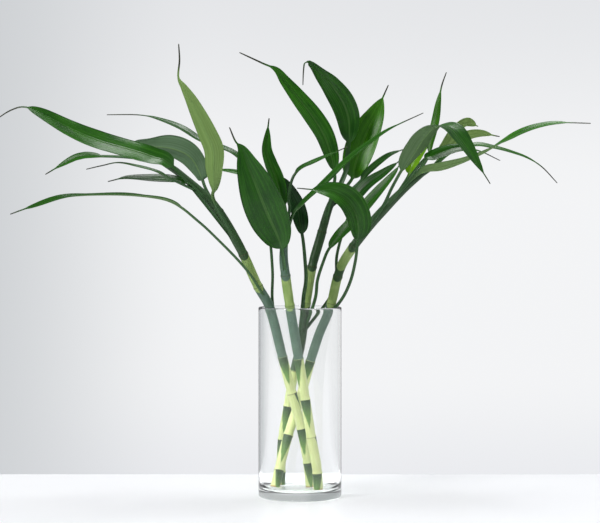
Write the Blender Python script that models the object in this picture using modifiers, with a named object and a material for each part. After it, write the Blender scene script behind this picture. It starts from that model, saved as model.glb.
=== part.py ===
"""Four cut canes of lucky bamboo with their leaves, standing in a clear glass cylinder vase.

The vase stands on its base at the origin and +Z is up. The canes lean across one another inside it.
All sizes below are in millimetres, and MM turns them into Blender's metres.
"""

import bmesh
import bpy
from mathutils import Vector

MM = 0.001

VASE_HEIGHT = 200.0
VASE_RADIUS = 44.0
WALL = 2.5
FLOOR = 7.5  # thickness of the vase's base
FOOT_BEVEL = 1.5
FLOOR_FILLET = 7.0
ARC_STEPS = 4  # points on each rounded corner of a turned profile
TURN_STEPS = 40

STEM_RADIUS = 5.0
NODE_SWELLING = 1.1  # a node ring is this much thicker than the cane
NODE_SPACING = 37.0
STEM_STEP = 9.0  # distance between two rings of the stem's mesh
STEM_TOP_RADIUS = 3.2

LEAF_THICKNESS = 1.0
LEAF_STATIONS = 17  # cross-sections along one leaf
LEAF_SPLIT = 2  # strips on each side of the midrib
STALK_WIDTH = 4.5
TIP_WIDTH = 1.2
SWELL_MOST = 0.375**0.6 * 0.625  # the most that b^0.6 (1 - b) reaches

GREEN_CANE = (0.33, 0.45, 0.13, 1)
GREEN_LEAF = (0.05, 0.19, 0.03, 1)
CLEAR_GLASS = (0.9, 0.95, 0.93, 1)

# Each cane as the places that its middle line passes, from the cut foot to the growing tip.
STEMS = {
    "stem_left": (
        (11, 1, 9), (8, -4, 37), (1, -9, 74), (-9, -13, 112), (-19, -15, 151), (-31, -16, 198),
        (-45, -16, 224), (-64, -18, 265), (-90, -22, 307), (-124, -28, 339), (-136, -30, 348),
    ),
    "stem_front": (
        (19, -26, 9), (17, -27, 35), (11, -28, 69), (5, -29, 108), (-2, -31, 151),
        (-10, -33, 199), (-15, -33, 234), (-17, -33, 257), (-14, -33, 295),
    ),
    "stem_back": (
        (-21, 13, 9), (-19, 14, 56), (-13, 16, 92), (-7, 20, 126), (1, 25, 160),
        (6, 31, 198), (13, 37, 241), (22, 42, 273), (33, 46, 309), (47, 50, 329),
    ),
    "stem_right": (
        (-26, -19, 11), (-20, -11, 37), (-12, -4, 66), (-3, 3, 93), (4, 5, 116), (12, 7, 145),
        (21, 8, 172), (32, 10, 198), (40, 12, 231), (49, 13, 252), (75, 15, 287),
        (107, 17, 321), (132, 20, 343),
    ),
}

# Each leaf: its greatest width, the shares of its length that are stalk and thin tail, the power that
# shapes its outline, the directions that its upper side looks in from base to tip, and the places
# that its midrib passes.
LEAVES = {
    "left_broad_leaf": (
        25, 0.04, 0.11, 0.45, ((-0.1, -0.8, 0.6),),
        ((-127, -38, 342), (-155, -46, 358), (-204, -66, 372), (-233, -80, 384), (-264, -94, 400),
         (-277, -99, 404), (-289, -103, 400), (-301, -106, 392)),
    ),
    "left_folded_leaf": (
        26, 0.12, 0.05, 0.6, ((0.5, 0.8, 0.1), (0.3, 0.9, 0.3), (0.1, 0.8, 0.5)),
        ((-98, -12, 322), (-106, -6, 343), (-118, -2, 360), (-137, 2, 368), (-160, 6, 371),
         (-184, 10, 378)),
    ),
    "left_arching_leaf": (
        13, 0.38, 0.05, 0.5,
        ((0.7, -0.1, 0.7), (0.2, -0.1, 1), (0, -0.15, 1), (0, -0.2, 1), (0, -0.9, 0.45)),
        ((-48, -26, 230), (-62, -32, 248), (-84, -38, 271), (-104, -44, 290), (-131, -50, 310),
         (-164, -58, 316), (-204, -67, 317), (-241, -76, 314), (-273, -82, 304), (-292, -85, 297)),
    ),
    "left_rear_leaf": (
        15, 0.45, 0.12, 0.6, ((1, -0.2, 0.1), (0.6, -0.3, 0.7), (0, -0.5, 0.85)),
        ((-29, 0, 206), (-29, 0, 240), (-34, -1, 290), (-46, 0, 330), (-64, 2, 357), (-83, 4, 369),
         (-106, 7, 377), (-128, 10, 391), (-150, 15, 400), (-172, 20, 405), (-208, 28, 406)),
    ),
    "left_upright_leaf": (
        21, 0.06, 0.14, 0.95, ((0.2, 1, 0), (0.3, 0.95, 0.1)),
        ((-89, -36, 311), (-89, -42, 325), (-89, -50, 343), (-89, -54, 363), (-96, -56, 381),
         (-110, -57, 411), (-119, -56, 427), (-125, -53, 438), (-124, -50, 456), (-125, -48, 473)),
    ),
    "left_tip_leaf": (
        10, 0.5, 0.06, 0.8, ((0, -0.3, 1), (0, -0.9, 0.5)),
        ((-148, -18, 353), (-162, -12, 356), (-190, -4, 359), (-218, 2, 360), (-232, 5, 360),
         (-245, 8, 356), (-272, 13, 341)),
    ),
    "left_thin_leaf": (
        7, 0.1, 0.2, 0.6, ((0, -0.4, 1),),
        ((-130, -50, 333), (-146, -58, 341), (-168, -62, 347), (-186, -64, 350), (-201, -67, 347),
         (-217, -72, 343)),
    ),
    "left_dark_leaf": (
        13, 0.08, 0.08, 0.7, ((0, -0.65, 0.8),),
        ((-112, -34, 327), (-121, -36, 331), (-134, -38, 334), (-155, -42, 335), (-179, -50, 335),
         (-197, -56, 331)),
    ),
    "front_broad_leaf": (
        42, 0.03, 0.1, 0.9, ((-0.25, -0.95, 0.2),),
        ((-18, -43, 258), (-23, -48, 275), (-32, -54, 295), (-39, -60, 312), (-46, -63, 330),
         (-53, -65, 347), (-59, -66, 363), (-66, -66, 372), (-72, -64, 386)),
    ),
    "front_upright_leaf": (
        15, 0.08, 0.06, 0.7, ((0.35, -0.9, 0.1),),
        ((-15, -43, 299), (-20, -44, 318), (-25, -44, 335), (-31, -44, 350), (-35, -43, 364),
         (-34, -42, 380), (-32, -41, 397)),
    ),
    "front_diagonal_leaf": (
        12, 0.04, 0.12, 0.7, ((-0.5, -0.5, 0.7),),
        ((-8, -42, 296), (2, -39, 308), (31, -34, 336), (52, -36, 356), (72, -39, 372),
         (93, -43, 386), (127, -48, 402)),
    ),
    "front_thin_leaf": (
        8, 0.4, 0.1, 0.6, ((-0.8, -0.3, 0.2), (0, -0.5, 0.85)),
        ((-11, -25, 302), (-12, -25, 312), (-10, -24, 328), (-6, -23, 339), (2, -22, 347),
         (21, -19, 356), (50, -16, 369)),
    ),
    "front_side_leaf": (
        9, 0.2, 0.05, 0.6, ((0, -0.7, 0.7),),
        ((-22, -24, 304), (-36, -19, 326), (-52, -14, 338), (-70, -11, 343), (-93, -8, 346)),
    ),
    "back_shadow_leaf": (
        22, 0.5, 0.04, 0.7, ((0.6, -0.75, 0.2),),
        ((3, 19, 206), (6, 17, 228), (5, 14, 250), (3, 11, 271), (0, 8, 288), (-3, 6, 305),
         (-10, 5, 321), (-17, 5, 334), (-25, 6, 344)),
    ),
    "back_tall_leaf": (
        22, 0.1, 0.14, 0.75, ((0.25, -0.95, 0.2),),
        ((36, 37, 328), (37, 37, 345), (32, 36, 368), (25, 34, 386), (12, 31, 406), (-3, 28, 425),
         (-16, 26, 441), (-26, 24, 454), (-41, 22, 461), (-65, 20, 472)),
    ),
    "back_hooked_leaf": (
        27, 0.2, 0.12, 0.75,
        ((-0.1, -0.95, 0.2), (-0.1, -0.95, 0.2), (-0.2, -0.8, 0.5), (-0.7, -0.6, 0.3),
        (-0.9, -0.4, 0)),
        ((50, 54, 345), (52, 54, 364), (54, 54, 386), (53, 53, 404), (47, 51, 421), (35, 48, 439),
         (24, 44, 451), (14, 40, 461), (6, 36, 463), (4, 33, 455), (3, 30, 438)),
    ),
    "back_bright_leaf": (
        34, 0.03, 0.1, 0.75, ((-0.2, -0.95, 0.1),),
        ((56, 62, 336), (60, 63, 350), (66, 65, 370), (74, 66, 390), (83, 66, 408), (90, 64, 425),
         (97, 61, 441)),
    ),
    "back_strap_leaf": (
        15, 0.33, 0.04, 0.5, ((-0.4, -0.8, 0.5),),
        ((16, 21, 206), (19, 21, 228), (25, 22, 247), (31, 22, 261), (43, 23, 276), (56, 24, 290),
         (70, 26, 307), (86, 28, 325), (102, 29, 344), (110, 30, 357)),
    ),
    "back_dark_leaf": (
        17, 0.5, 0.04, 0.6, ((-0.8, -0.5, 0.2), (-0.3, -0.7, 0.6)),
        ((36, 28, 216), (40, 32, 255), (49, 34, 287), (60, 37, 315), (72, 38, 330), (90, 38, 343),
         (112, 38, 360)),
    ),
    "back_thin_leaf": (
        10, 0.1, 0.1, 0.6, ((0, -0.6, 0.8),),
        ((62, 50, 331), (76, 53, 347), (94, 56, 362), (107, 57, 368), (121, 58, 372)),
    ),
    "right_drooping_leaf": (
        33, 0.4, 0.08, 0.7, ((0.8, -0.5, 0.2), (0.6, -0.75, 0.2), (0.4, -0.85, 0.3), (-0.1, -0.7, 0.7)),
        ((44, 1, 208), (53, -5, 227), (58, -12, 248), (60, -18, 266), (61, -24, 284),
         (57, -31, 300), (47, -40, 313), (33, -48, 320), (18, -55, 322), (-3, -62, 324)),
    ),
    "right_long_leaf": (
        16, 0.02, 0.1, 0.5, ((0, 0.8, 0.6), (0, 0.6, 0.8), (0, -0.4, 0.9), (0, -0.7, 0.7)),
        ((124, 5, 340), (149, 2, 348), (175, -1, 355), (192, -4, 362), (211, -8, 373),
         (232, -12, 384), (253, -15, 391), (273, -18, 394), (304, -23, 393)),
    ),
    "right_falling_leaf": (
        9, 0.1, 0.15, 0.6, ((0, -0.5, 0.85),),
        ((144, 32, 350), (164, 34, 366), (189, 36, 374), (210, 37, 371), (230, 38, 366),
         (247, 40, 360), (263, 42, 350), (280, 46, 333)),
    ),
    "right_small_leaf": (
        7, 0.1, 0.15, 0.6, ((0, -0.4, 1),),
        ((146, 46, 352), (165, 50, 366), (192, 52, 369), (219, 55, 358)),
    ),
    "right_upright_leaf": (
        12, 0.1, 0.15, 0.7, ((-0.7, -0.7, 0.1),),
        ((136, 25, 357), (142, 28, 378), (147, 30, 400), (150, 31, 420), (153, 32, 437),
         (158, 32, 452)),
    ),
    "right_crown_leaf": (
        34, 0.24, 0.05, 0.85,
        ((-0.3, 0.9, 0.2), (-0.5, 0.8, 0.2), (-0.3, 0.5, 0.8), (0.4, -0.6, 0.7), (0.6, -0.75, 0.3)),
        ((86, 4, 303), (98, 1, 327), (109, -3, 347), (121, -7, 364), (132, -12, 380),
         (144, -19, 390), (158, -27, 387), (171, -34, 370), (183, -41, 351), (196, -48, 329)),
    ),
    "right_curled_leaf": (
        17, 0.1, 0.02, 0.5, ((-0.5, 0.7, 0.5),),
        ((150, 60, 354), (160, 62, 373), (170, 63, 389), (183, 64, 400), (196, 66, 396)),
    ),
    "right_pale_leaf": (
        14, 0.1, 0.06, 0.55, ((0, 0.8, 0.6),),
        ((150, 76, 356), (162, 78, 372), (180, 80, 384), (200, 82, 389), (222, 85, 386)),
    ),
    "right_young_leaf": (
        14, 0.1, 0.06, 0.7, ((-0.4, -0.9, 0.3),),
        ((116, 28, 338), (121, 30, 352), (130, 32, 365), (141, 35, 376)),
    ),
    "right_low_leaf": (
        15, 0.08, 0.06, 0.6, ((0, -0.8, 0.6),),
        ((130, 11, 354), (141, 12, 360), (153, 13, 365), (166, 14, 369), (186, 15, 371)),
    ),
}
LEAF_FOLD = 0.22  # how far a leaf's edges rise above its midrib, as a share of the half width


def clear_scene():
    for old in list(bpy.data.objects):
        bpy.data.objects.remove(old, do_unlink=True)


def collection(name):
    made = bpy.data.collections.new(name)
    bpy.context.scene.collection.children.link(made)
    return made


def material(name, colour, roughness):
    made = bpy.data.materials.new(name)
    made.use_nodes = True
    made.diffuse_color = colour
    shader = made.node_tree.nodes["Principled BSDF"]
    shader.inputs["Base Color"].default_value = colour
    shader.inputs["Roughness"].default_value = roughness
    shader.inputs["Metallic"].default_value = 0
    return made


def add_object(name, data, target, finish):
    made = bpy.data.objects.new(name, data)
    target.objects.link(made)
    data.materials.append(finish)
    return made


def route_point(points, along):
    """The place on a smooth curve through the points: along runs from 0 to the last point's number."""
    last = len(points) - 1
    start = min(int(along), last - 1)
    part = along - start
    near, far = points[start], points[start + 1]
    before = points[start - 1] if start else 2 * near - far
    after = points[start + 2] if start + 2 <= last else 2 * far - near
    return 0.5 * (
        2 * near
        + (far - before) * part
        + (2 * before - 5 * near + 4 * far - after) * part**2
        + (3 * near - before - 3 * far + after) * part**3
    )


def even_route(places, count):
    """The given count of places, evenly spaced along the smooth curve through the route's places."""
    points = [Vector(place) for place in places]
    fine = 24 * (len(points) - 1)
    path = [route_point(points, step * (len(points) - 1) / fine) for step in range(fine + 1)]
    reach = [0.0]
    for near, far in zip(path, path[1:]):
        reach.append(reach[-1] + (far - near).length)
    spaced = []
    at = 0
    for step in range(count):
        wanted = reach[-1] * step / (count - 1)
        while at < fine - 1 and reach[at + 1] < wanted:
            at += 1
        share = (wanted - reach[at]) / (reach[at + 1] - reach[at])
        spaced.append(path[at].lerp(path[at + 1], share))
    return spaced, reach[-1]


def turned(name, profile, target, finish):
    """A closed solid turned round the Z axis from a profile that starts and ends on the axis."""
    data = bpy.data.meshes.new(name)
    edges = [(step, step + 1) for step in range(len(profile) - 1)]
    data.from_pydata([(x * MM, 0, z * MM) for x, z in profile], edges, [])
    made = add_object(name, data, target, finish)
    screw = made.modifiers.new("turn", "SCREW")
    screw.steps = TURN_STEPS
    screw.render_steps = TURN_STEPS
    screw.use_merge_vertices = True
    screw.merge_threshold = 0.00001
    screw.use_smooth_shade = True
    return made


def corner(centre_x, centre_z, radius, turn):
    """Points on a quarter circle that begins in the direction given as (x, z) and turns clockwise."""
    first = Vector((turn[0], turn[1]))
    second = Vector((turn[1], -turn[0]))
    points = []
    for step in range(ARC_STEPS + 1):
        share = step / ARC_STEPS
        mixed = (first * (1 - share) + second * share).normalized() * radius
        points.append((centre_x + mixed.x, centre_z + mixed.y))
    return points


def vase_profile():
    """From the middle of the floor out and up the inside, over the rim, down the outside and in."""
    inner = VASE_RADIUS - WALL
    rim = WALL / 2
    inside = [(0, FLOOR), (inner - FLOOR_FILLET, FLOOR)]
    fillet = corner(inner - FLOOR_FILLET, FLOOR + FLOOR_FILLET, FLOOR_FILLET, (1, 0))
    inside += fillet[::-1][1:]
    left_rim = corner(inner + rim, VASE_HEIGHT - rim, rim, (-1, 0))
    right_rim = corner(inner + rim, VASE_HEIGHT - rim, rim, (0, 1))[1:]
    foot = corner(VASE_RADIUS - FOOT_BEVEL, FOOT_BEVEL, FOOT_BEVEL, (1, 0))
    return inside + left_rim + right_rim + foot + [(0, 0)]


def cane(name, places, target, finish):
    """A round cane along the route, a little thicker at each node and thinner in its crown."""
    points = [Vector(place) for place in places]
    rings = max(2, round(sum((b - a).length for a, b in zip(points, points[1:])) / STEM_STEP))
    spaced, length = even_route(points, rings + 1)
    data = bpy.data.curves.new(name, "CURVE")
    data.dimensions = "3D"
    data.resolution_u = 1
    data.bevel_resolution = 2
    data.use_fill_caps = True
    data.bevel_depth = MM
    spline = data.splines.new("POLY")
    spline.points.add(len(spaced) - 1)
    for step, (point, place) in enumerate(zip(spline.points, spaced)):
        reach = length * step / rings
        to_node = abs((reach + NODE_SPACING / 2) % NODE_SPACING - NODE_SPACING / 2)
        swelling = NODE_SWELLING if to_node < STEM_STEP / 2 else 1.0
        crown = max(0.0, min(1.0, (reach - length + 60) / 60))
        plain = STEM_RADIUS + (STEM_TOP_RADIUS - STEM_RADIUS) * crown
        point.co = (*(place * MM), 1)
        point.radius = plain * swelling
    return add_object(name, data, target, finish)


def half_width(along, width, stalk, tail, power):
    """Half the leaf's width at a share of its length: stalk, blade and tail.

    On the blade it is b^0.6 (1 - b), scaled to 1 at its most and raised to the leaf's own power. A
    high power makes a pointed leaf and a low one a strap.
    """
    blade = min(1.0, max(0.0, (along - stalk) / (1 - stalk - tail)))
    swell = (blade**0.6 * (1 - blade) / SWELL_MOST) ** power
    least = TIP_WIDTH + (STALK_WIDTH - TIP_WIDTH) * (1 - along) ** 0.5
    return max(least, width * swell) / 2


def facing(directions, along):
    """The direction that the upper side looks in, blended from base to tip."""
    if len(directions) == 1:
        return Vector(directions[0])
    place = along * (len(directions) - 1)
    start = min(int(place), len(directions) - 2)
    return Vector(directions[start]).lerp(Vector(directions[start + 1]), place - start)


def leaf(name, width, stalk, tail, power, directions, places, target, finish):
    """A folded strip lofted along the midrib and given its thickness by a Solidify."""
    spine, _ = even_route(places, LEAF_STATIONS)
    shape = bmesh.new()
    rows = []
    for step, centre in enumerate(spine):
        along = step / (LEAF_STATIONS - 1)
        before = spine[max(step - 1, 0)]
        after = spine[min(step + 1, LEAF_STATIONS - 1)]
        tangent = (after - before).normalized()
        side = tangent.cross(facing(directions, along)).normalized()
        upper = side.cross(tangent)
        half = half_width(along, width, stalk, tail, power)
        row = []
        for strip in range(-LEAF_SPLIT, LEAF_SPLIT + 1):
            across = strip / LEAF_SPLIT
            rise = LEAF_FOLD * abs(across) * half
            row.append(shape.verts.new((centre + side * across * half + upper * rise) * MM))
        rows.append(row)
    for lower, higher in zip(rows, rows[1:]):
        for strip in range(2 * LEAF_SPLIT):
            shape.faces.new((lower[strip], lower[strip + 1], higher[strip + 1], higher[strip]))
    data = bpy.data.meshes.new(name)
    shape.to_mesh(data)
    shape.free()
    data.shade_smooth()
    made = add_object(name, data, target, finish)
    solidify = made.modifiers.new("thickness", "SOLIDIFY")
    solidify.thickness = LEAF_THICKNESS * MM
    solidify.offset = 0
    return made


def build():
    clear_scene()
    parts = collection("lucky_bamboo")
    glass = material("vase_glass", CLEAR_GLASS, 0.03)
    cane_finish = material("cane_green", GREEN_CANE, 0.4)
    leaf_finish = material("leaf_green", GREEN_LEAF, 0.35)
    turned("vase", vase_profile(), parts, glass)
    for name, places in STEMS.items():
        cane(name, places, parts, cane_finish)
    for name, (width, stalk, tail, power, directions, places) in LEAVES.items():
        leaf(name, width, stalk, tail, power, directions, places, parts, leaf_finish)


build()
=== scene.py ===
# %% [markdown]
# # Lucky bamboo in a glass cylinder vase
#
# Four cut canes of lucky bamboo lean across one another in a clear vase, and long pointed leaves arch
# out of the top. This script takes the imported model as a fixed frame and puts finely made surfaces
# where its plain solids are. Each surface is a formula worked out with numpy over whole arrays, so one
# function makes every leaf and another every cane.

import bpy
import numpy as np
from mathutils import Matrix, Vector


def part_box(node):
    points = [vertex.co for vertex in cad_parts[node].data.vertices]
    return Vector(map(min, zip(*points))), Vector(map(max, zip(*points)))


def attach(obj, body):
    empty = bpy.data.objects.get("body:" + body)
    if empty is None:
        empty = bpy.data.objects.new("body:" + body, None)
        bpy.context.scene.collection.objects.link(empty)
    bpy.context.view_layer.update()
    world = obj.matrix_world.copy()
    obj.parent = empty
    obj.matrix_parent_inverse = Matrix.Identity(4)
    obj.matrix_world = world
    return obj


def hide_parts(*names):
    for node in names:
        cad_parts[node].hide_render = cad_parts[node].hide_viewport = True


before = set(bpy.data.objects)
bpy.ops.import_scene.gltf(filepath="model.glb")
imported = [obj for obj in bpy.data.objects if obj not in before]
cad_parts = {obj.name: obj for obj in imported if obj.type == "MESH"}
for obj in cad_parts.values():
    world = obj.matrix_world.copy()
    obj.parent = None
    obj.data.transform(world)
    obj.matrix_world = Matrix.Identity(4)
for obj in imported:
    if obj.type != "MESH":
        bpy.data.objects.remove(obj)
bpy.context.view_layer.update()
MM = 0.001

# %% [markdown]
# The camera comes first, because everything is judged through it. It stands well back with a long
# lens, a little above the vase's rim, so the rim shows as a thin line and the base as an open curve.
# A camera looks down its own -Z axis, so it is turned by a right angle about X to look along +Y.

# %% The camera
CAMERA_DISTANCE = 1.724
CAMERA_HEIGHT = 0.272
LENS = 97.6
RISE_OF_VIEW = 0.0375  # the picture's centre, as a share of its width below the horizon


def add_camera():
    made = bpy.data.objects.new("camera", bpy.data.cameras.new("camera"))
    bpy.context.scene.collection.objects.link(made)
    made.location = (0, -CAMERA_DISTANCE, CAMERA_HEIGHT)
    made.rotation_euler = (np.pi / 2, 0, 0)
    made.data.lens = LENS
    made.data.shift_y = -RISE_OF_VIEW
    bpy.context.scene.camera = made
    return made


camera = add_camera()
bpy.context.scene.view_settings.view_transform = "Standard"
print("camera", tuple(round(v, 3) for v in camera.location))

# %% [markdown]
# A material is a small graph of nodes. These helpers keep that graph short to write: one adds a node
# and sets or links its inputs, others start a material, finish it, and mix, ramp or do sums. The
# effect that leaves and canes share becomes a node group further down.


# %% Helpers for materials
def node(tree, kind, inputs=None, **settings):
    """Adds a node; an input given as a socket is linked, and any other value is set."""
    made = tree.nodes.new(kind)
    for name, value in settings.items():
        setattr(made, name, value)
    for key, value in (inputs or {}).items():
        if isinstance(value, bpy.types.NodeSocket):
            tree.links.new(value, made.inputs[key])
        else:
            made.inputs[key].default_value = value
    return made


def new_material(name):
    made = bpy.data.materials.new(name)
    made.use_nodes = True
    tree = made.node_tree
    tree.nodes.clear()
    return made, tree


def finish_material(tree, shader):
    output = node(tree, "ShaderNodeOutputMaterial")
    tree.links.new(shader.outputs[0], output.inputs["Surface"])


def mixed(tree, share, first, second):
    """The colour between first and second, by share. The Mix node's colour sockets are 6 and 7."""
    made = node(tree, "ShaderNodeMix", {"Factor": share}, data_type="RGBA")
    for key, value in ((6, first), (7, second)):
        if isinstance(value, bpy.types.NodeSocket):
            tree.links.new(value, made.inputs[key])
        else:
            made.inputs[key].default_value = value
    return made.outputs[2]


def calc(tree, operation, first, second=0.0, third=0.0):
    made = node(tree, "ShaderNodeMath", {0: first, 1: second, 2: third}, operation=operation)
    return made.outputs[0]


def ramp(tree, value, low, high):
    """0 at low and 1 at high, with a smooth step between; high may be the smaller of the two."""
    made = node(
        tree,
        "ShaderNodeMapRange",
        {"Value": value, "From Min": low, "From Max": high},
        interpolation_type="SMOOTHSTEP",
    )
    return made.outputs["Result"]


def attribute(tree, name):
    return node(tree, "ShaderNodeAttribute", attribute_name=name, attribute_type="GEOMETRY")


# %% [markdown]
# The stage is a white table whose far edge is a little way behind the vase. Beyond it there is only
# the pale room, which the world gives, so no second horizon shows. A plain stage needs no more than
# one flat plane.

# %% The table
TABLE_REACH = 0.158
STAGE_HALF = 12.0
TABLE_DROP = 0.0002  # how far the table lies below the vase's base, so that the two never flicker


def add_table(finish):
    data = bpy.data.meshes.new("table")
    corners = [
        (-STAGE_HALF, -STAGE_HALF), (STAGE_HALF, -STAGE_HALF),
        (STAGE_HALF, TABLE_REACH), (-STAGE_HALF, TABLE_REACH),
    ]
    data.from_pydata([(x, y, -TABLE_DROP) for x, y in corners], [], [(0, 1, 2, 3)])
    data.materials.append(finish)
    made = bpy.data.objects.new("table", data)
    bpy.context.scene.collection.objects.link(made)


def table_white():
    made, tree = new_material("table_white")
    place = node(tree, "ShaderNodeTexCoord").outputs["Object"]
    grain = node(tree, "ShaderNodeTexNoise", {"Vector": place, "Scale": 9.0, "Detail": 3.0})
    colour = mixed(tree, grain.outputs["Fac"], (0.90, 0.91, 0.94, 1), (0.93, 0.94, 0.96, 1))
    shader = node(tree, "ShaderNodeBsdfPrincipled", {"Base Color": colour, "Roughness": 0.35})
    finish_material(tree, shader)
    return made


add_table(table_white())
print("table reaches", TABLE_REACH, "m behind the vase")

# %% [markdown]
# Light in a white room comes from everywhere, with one softer, brighter side. The world gives the
# even part: brightest at the height of the leaves, a little darker overhead, towards the left and low
# behind the table. It lights the plant less than it shows, as a lit backdrop does, which keeps the
# greens deep. Only what is seen straight or through the glass has its full brightness. Three soft area
# lamps, the strongest overhead and at the upper left, give the leaves their pale highlights.


# %% The world and the lamps
ROOM_LIGHT = 0.4  # how strongly the room lights things, as a share of how bright it looks


def set_world():
    """The way's height and side choose between a bright band and darker parts above, below and left."""
    world = bpy.data.worlds.new("pale_room")
    bpy.context.scene.world = world
    world.use_nodes = True
    tree = world.node_tree
    tree.nodes.clear()
    way = node(tree, "ShaderNodeTexCoord").outputs["Generated"]
    parts = node(tree, "ShaderNodeSeparateXYZ", {"Vector": way})
    high, across = parts.outputs["Z"], parts.outputs["X"]
    wall = mixed(tree, ramp(tree, high, 0.02, 0.16), (0.90, 0.907, 0.92, 1), (0.78, 0.79, 0.81, 1))
    wall = mixed(tree, ramp(tree, high, -0.08, -0.16), wall, (0.82, 0.83, 0.86, 1))
    side = ramp(tree, across, -0.05, -0.22)
    wall = mixed(tree, side, wall, (0.60, 0.62, 0.64, 1))
    path = node(tree, "ShaderNodeLightPath")
    through_glass = calc(tree, "GREATER_THAN", path.outputs["Transmission Depth"], 0.5)
    seen = calc(tree, "MAXIMUM", path.outputs["Is Camera Ray"], through_glass)
    strength = calc(tree, "MULTIPLY_ADD", seen, 1 - ROOM_LIGHT, ROOM_LIGHT)
    back = node(tree, "ShaderNodeBackground", {"Color": wall, "Strength": strength})
    output = node(tree, "ShaderNodeOutputWorld")
    tree.links.new(back.outputs[0], output.inputs["Surface"])


def area_lamp(name, place, aim, size, watts, colour):
    lamp = bpy.data.lights.new(name, "AREA")
    lamp.shape = "RECTANGLE"
    lamp.size, lamp.size_y = size
    lamp.energy = watts
    lamp.color = colour
    made = bpy.data.objects.new(name, lamp)
    bpy.context.scene.collection.objects.link(made)
    made.location = place
    made.rotation_euler = (Vector(aim) - Vector(place)).to_track_quat("-Z", "Y").to_euler()
    return made


CROWN = (0, 0, 0.33)
set_world()
area_lamp("window", (-1.5, -1.3, 1.7), CROWN, (0.7, 0.7), 34, (1.0, 0.99, 0.97))
area_lamp("ceiling", (0.3, 0.2, 2.2), CROWN, (1.0, 1.0), 38, (1.0, 1.0, 1.0))
area_lamp("fill", (1.7, -1.0, 0.8), CROWN, (1.0, 1.0), 2, (0.95, 0.98, 1.0))

# %% [markdown]
# Every cane and leaf follows a smooth line through a short list of places. A Catmull-Rom curve
# passes through all of them: between each neighbouring pair it is a cubic whose slope at either end
# points from the place before to the place after. The line is then read again at even steps of its
# own length, so that rings, veins and leaf widths aren't stretched where the places are far apart.


# %% A smooth line through places
LINE_STEPS = 40  # fine steps between two places, from which the even steps are read


def unit(vectors):
    return vectors / np.maximum(np.linalg.norm(vectors, axis=-1, keepdims=True), 1e-9)


def reach_along(points):
    """The distance from the first point to each point along the line."""
    steps = np.linalg.norm(np.diff(points, axis=0), axis=1)
    return np.concatenate([[0], np.cumsum(steps)])


def smooth_line(places, count):
    """Catmull-Rom cubics through the places, read at count even steps of length; also the length."""
    points = np.array(places, float)
    ends = np.vstack([2 * points[0] - points[1], points, 2 * points[-1] - points[-2]])
    along = np.linspace(0, len(points) - 1, LINE_STEPS * (len(points) - 1) + 1)
    start = np.minimum(along.astype(int), len(points) - 2)
    t = (along - start)[:, None]
    a, b, c, d = (ends[start + shift] for shift in range(4))
    path = b + 0.5 * ((c - a) * t + (2 * a - 5 * b + 4 * c - d) * t**2 + (3 * b - a - 3 * c + d) * t**3)
    reach = reach_along(path)
    even = np.linspace(0, reach[-1], count)
    line = np.stack([np.interp(even, reach, path[:, axis]) for axis in range(3)], axis=1)
    return line, reach[-1]


def blended(rows, share):
    """The given rows blended in turn as share runs from 0 to 1."""
    rows = np.array(rows, float)
    if len(rows) == 1:
        return np.repeat(rows, len(share), axis=0)
    knots = np.linspace(0, 1, len(rows))
    return np.stack([np.interp(share, knots, column) for column in rows.T], axis=1)


print("a test line is", round(smooth_line([(0, 0, 0), (0, 0, 50), (0, 0, 100)], 5)[1], 3), "mm long")

# %% [markdown]
# A surface here is a grid of points worked out as one array, joined into four-sided faces. Numbers
# that a material needs, such as how far a point is below a joint, are stored on the points as
# attributes, so a pattern follows the surface however it bends.


# %% From arrays to meshes
def grid_faces(rows, columns, closed=False, first=0):
    """Quads of a grid whose points run row by row; closed joins the last column to the first."""
    row = np.arange(rows - 1)[:, None] * columns
    column = np.arange(columns if closed else columns - 1)[None, :]
    after = (column + 1) % columns
    quads = [row + column, row + after, row + columns + after, row + columns + column]
    return np.stack(quads, axis=-1).reshape(-1, 4) + first


def fan_faces(pole, ring):
    """Triangles from one pole point to a closed ring of points."""
    return np.stack([np.full(len(ring), pole), ring, np.roll(ring, -1)], axis=1)


def put_mesh(name, points, face_sets, values=None):
    """A smooth mesh of points in millimetres; values are stored on its points as attributes."""
    data = bpy.data.meshes.new(name)
    faces = [face for faces in face_sets for face in faces.tolist()]
    data.from_pydata((points * MM).tolist(), [], faces)
    for key, numbers in (values or {}).items():
        numbers = np.asarray(numbers, np.float32)
        kind, field = ("FLOAT_VECTOR", "vector") if numbers.ndim == 2 else ("FLOAT", "value")
        stored = data.attributes.new(key, kind, "POINT")
        stored.data.foreach_set(field, numbers.ravel())
    data.polygons.foreach_set("use_smooth", np.ones(len(data.polygons), bool))
    face_outwards(data)
    made = bpy.data.objects.new(name, data)
    bpy.context.scene.collection.objects.link(made)
    return made


def face_outwards(data):
    """Turns every face of a closed mesh round if the volume that its faces enclose is negative."""
    data.calc_loop_triangles()
    corners = np.empty(len(data.loop_triangles) * 3, np.int32)
    data.loop_triangles.foreach_get("vertices", corners)
    places = np.empty(len(data.vertices) * 3, np.float32)
    data.vertices.foreach_get("co", places)
    if np.linalg.det(places.reshape(-1, 3)[corners.reshape(-1, 3)]).sum() < 0:
        data.flip_normals()


def stand_in(piece, cad_node, finish):
    """Puts the piece in the CAD node's place, on the root body, with its own finish, and hides the CAD
    node.
    """
    piece.data.materials.append(finish)
    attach(piece, "root")
    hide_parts(cad_node)


# %% [markdown]
# Canes and leaves are both made of long fibres, so they share one effect: a noise that is stretched
# along the plant and fine across it. It is a node group, built once, which takes the place on the
# surface and two scales, and gives back a value from 0 to 1 that materials use for colour and bump.


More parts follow.
